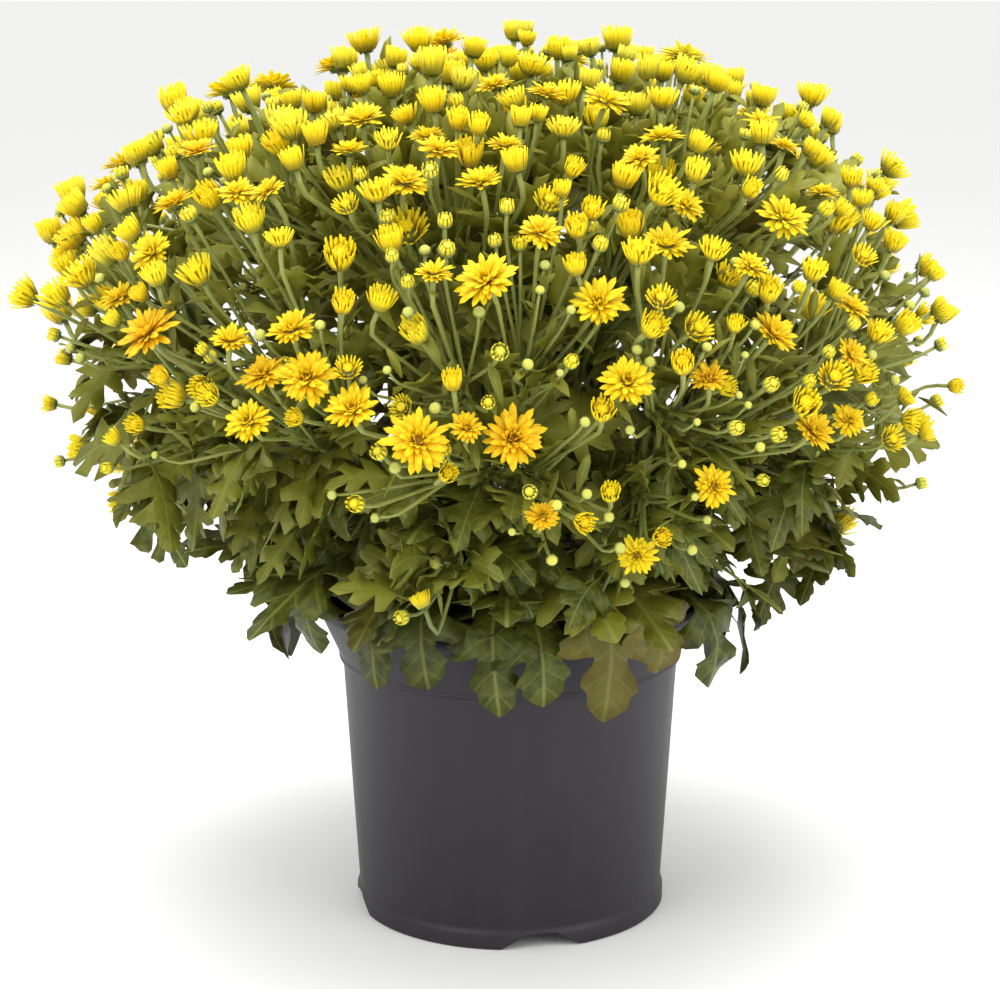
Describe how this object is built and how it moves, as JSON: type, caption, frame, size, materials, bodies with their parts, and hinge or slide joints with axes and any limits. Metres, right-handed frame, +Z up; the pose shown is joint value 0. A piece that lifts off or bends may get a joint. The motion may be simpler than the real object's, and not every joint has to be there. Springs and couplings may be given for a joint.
{
  "type": "potted chrysanthemum",
  "caption": "Bushy yellow chrysanthemum with open and half-open blooms, buds and lobed leaves, in a tapered round dark plastic nursery pot with drain notches.",
  "frame": {"origin": "middle of the bounding box at the pot's foot, on the surface it stands on", "axes": "+Z up along the pot's axis, -Y to the front that the picture shows, +X to the viewer's right"},
  "size_m": [0.5318, 0.521, 0.5127],
  "materials": {
    "pot plastic": "moulded polypropylene, dark grey with a purple cast, satin",
    "potting mix": "damp peat and bark, dull",
    "foliage": "stems and leaves, soft matt green",
    "petals": "yellow ray florets, soft matt"
  },
  "bodies": {
    "root": {"pot": "pot plastic", "potting_mix": "potting mix", "leafy_stem_01": "foliage", "leafy_stem_02": "foliage", "leafy_stem_03": "foliage", "leafy_stem_04": "foliage", "leafy_stem_05": "foliage", "leafy_stem_06": "foliage", "leafy_stem_07": "foliage", "leafy_stem_08": "foliage", "leafy_stem_09": "foliage", "leafy_stem_10": "foliage", "leafy_stem_11": "foliage", "leafy_stem_12": "foliage", "leafy_stem_13": "foliage", "leafy_stem_14": "foliage", "leafy_stem_15": "foliage", "leafy_stem_16": "foliage", "leafy_stem_17": "foliage", "leafy_stem_18": "foliage", "bloom_01": "petals", "bloom_02": "petals", "bloom_03": "petals", "bloom_04": "petals", "bloom_05": "petals", "bloom_06": "petals", "bloom_07": "petals", "bloom_08": "petals", "bloom_09": "petals", "bloom_10": "petals", "bloom_11": "petals", "bloom_12": "petals", "bloom_13": "petals", "bloom_14": "petals", "bloom_15": "petals", "bloom_16": "petals", "bloom_17": "petals", "bloom_18": "petals", "bloom_19": "petals", "bloom_20": "petals", "bloom_21": "petals", "bloom_22": "petals", "bloom_23": "petals", "bloom_24": "petals", "bloom_25": "petals", "bloom_26": "petals", "bloom_27": "petals", "bloom_28": "petals", "bloom_29": "petals", "bloom_30": "petals", "bloom_31": "petals", "bloom_32": "petals", "bloom_33": "petals", "bloom_34": "petals", "bloom_35": "petals", "bloom_36": "petals", "bloom_37": "petals", "bloom_38": "petals", "bloom_39": "petals", "bloom_40": "petals"}
  },
  "joints": []
}
